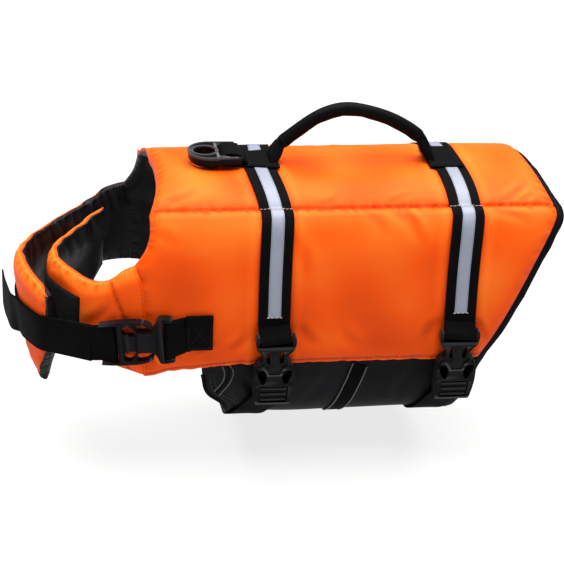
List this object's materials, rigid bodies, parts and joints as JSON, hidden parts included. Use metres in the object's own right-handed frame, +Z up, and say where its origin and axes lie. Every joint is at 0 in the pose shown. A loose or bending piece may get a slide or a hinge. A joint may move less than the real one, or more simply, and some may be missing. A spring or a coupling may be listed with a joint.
{
  "type": "dog life jacket",
  "caption": "Foam padded dog life jacket with a crossed chest front, girth straps with side-release buckles, a carry handle and a lead ring.",
  "frame": {"origin": "inside face of the back panel on the jacket's centre line, midway between the two girth straps, where the dog's back holds the jacket", "axes": "+X towards the tail, -Y towards the dog's left side with the buckles, +Z up"},
  "size_m": [0.4381, 0.2101, 0.2518],
  "materials": {
    "orange_cloth": "orange coated cloth over foam, dark lining inside",
    "hook_and_loop": "black hook-and-loop pile",
    "belly_cloth": "black belly cloth, dotted mesh at the rear",
    "black_webbing": "black woven webbing",
    "black_binding": "black folded binding tape",
    "reflective_tape": "silver reflective tape, faintly lavender",
    "handle_cloth": "black padded sleeve",
    "black_plastic": "black moulded plastic, slightly shiny edges"
  },
  "bodies": {
    "jacket": {"back_panel": "orange_cloth", "side_panel_left": "orange_cloth", "side_panel_right": "orange_cloth", "chest_flap_left": "orange_cloth", "chest_flap_right": "orange_cloth", "flap_patch": "hook_and_loop", "belly_panel": "belly_cloth", "belly_band": "black_webbing", "belly_strap_front": "black_webbing", "belly_strap_rear": "black_webbing", "rear_binding": "black_binding", "girth_strap_front": "black_webbing", "girth_strap_rear": "black_webbing", "reflective_tape_front": "reflective_tape", "reflective_tape_rear": "reflective_tape", "strap_loop_front": "black_webbing", "strap_loop_rear": "black_webbing", "girth_buckle_front_plug": "black_plastic", "girth_buckle_front_socket": "black_plastic", "girth_buckle_rear_plug": "black_plastic", "girth_buckle_rear_socket": "black_plastic", "chest_buckle_plug": "black_plastic", "chest_buckle_socket": "black_plastic", "chest_tab": "black_webbing", "chest_loop_tab": "black_webbing", "chest_loop_strap": "black_webbing", "chest_strap": "black_webbing", "chest_strap_tail": "black_webbing", "handle_sleeve": "handle_cloth", "handle_foot_front": "black_webbing", "handle_foot_rear": "black_webbing", "handle_base_front": "black_webbing", "handle_base_rear": "black_webbing", "ring_loop": "black_webbing"},
    "lead_ring": {"lead_ring": "black_plastic"}
  },
  "joints": [
    {"name": "lead_ring_lift", "type": "hinge", "parent": "jacket", "child": "lead_ring", "pos_m": [-0.1005, 0, 0.0195], "axis": [0, 1, 0], "range_deg": [0, 110]}
  ]
}
